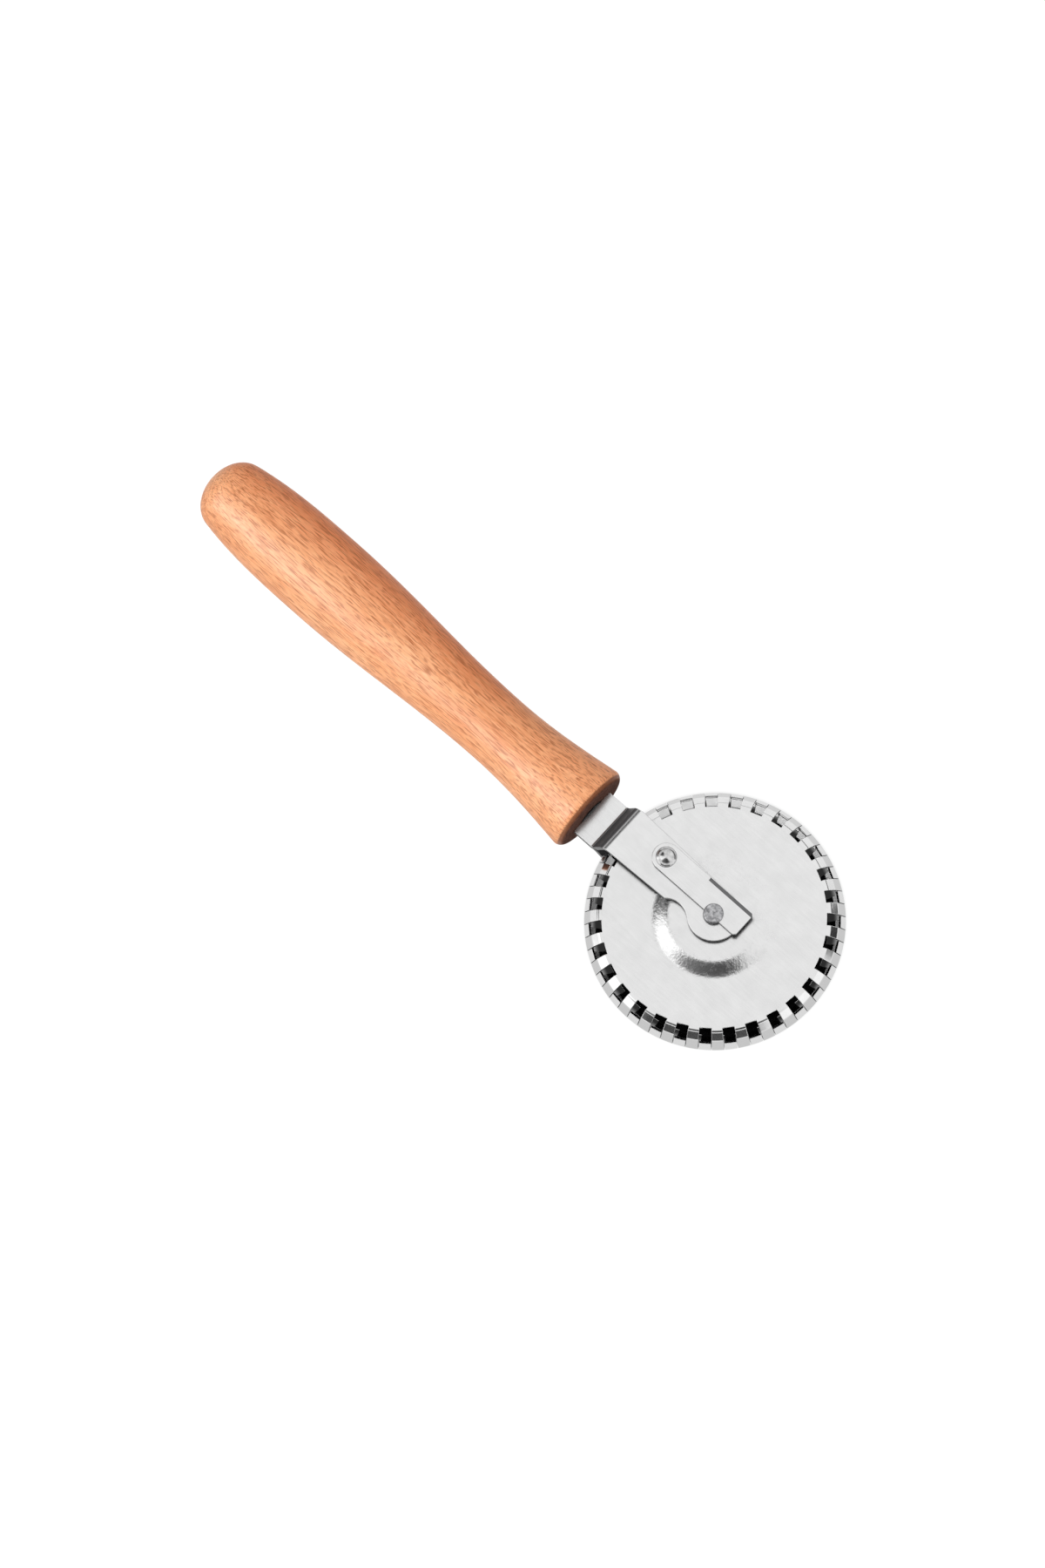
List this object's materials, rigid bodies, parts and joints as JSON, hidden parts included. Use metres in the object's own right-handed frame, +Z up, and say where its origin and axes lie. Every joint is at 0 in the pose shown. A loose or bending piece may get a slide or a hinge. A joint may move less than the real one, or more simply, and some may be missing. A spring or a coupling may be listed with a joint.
{
  "type": "pastry cutter wheel",
  "caption": "Hand-held pastry cutter: turned wooden handle, joggled sheet-steel fork, and a free-spinning crimped wheel whose axle pin is held by a swing latch.",
  "frame": {"origin": "middle of the footprint at table height, with the tool lying on its handle and on the flat head of its axle pin", "axes": "+X along the handle from the butt to the wheel, +Z up along the axle towards the latch, +Y completes the right-handed frame"},
  "size_m": [0.1872, 0.06, 0.0217],
  "materials": {
    "beech": "satin lacquer",
    "arm_steel": "polished stainless sheet",
    "disc_steel": "bright pressed stainless sheet",
    "pin_steel": "turned stainless"
  },
  "bodies": {
    "frame": {"handle": "beech", "near_arm": "arm_steel", "far_arm": "arm_steel", "axle_pin": "pin_steel", "latch_rivet": "pin_steel"},
    "wheel": {"near_disc": "disc_steel", "far_disc": "disc_steel", "hub_bush": "pin_steel"},
    "latch": {"latch_lever": "arm_steel"}
  },
  "joints": [
    {"name": "wheel_spin", "type": "hinge", "parent": "frame", "child": "wheel", "pos_m": [0.0636, 0, 0.01085], "axis": [0, 0, 1], "continuous": true},
    {"name": "latch_swing", "type": "hinge", "parent": "frame", "child": "latch", "pos_m": [0.0467, 0.0026, 0.01955], "axis": [0, 0, 1], "range_deg": [0, 80]}
  ]
}
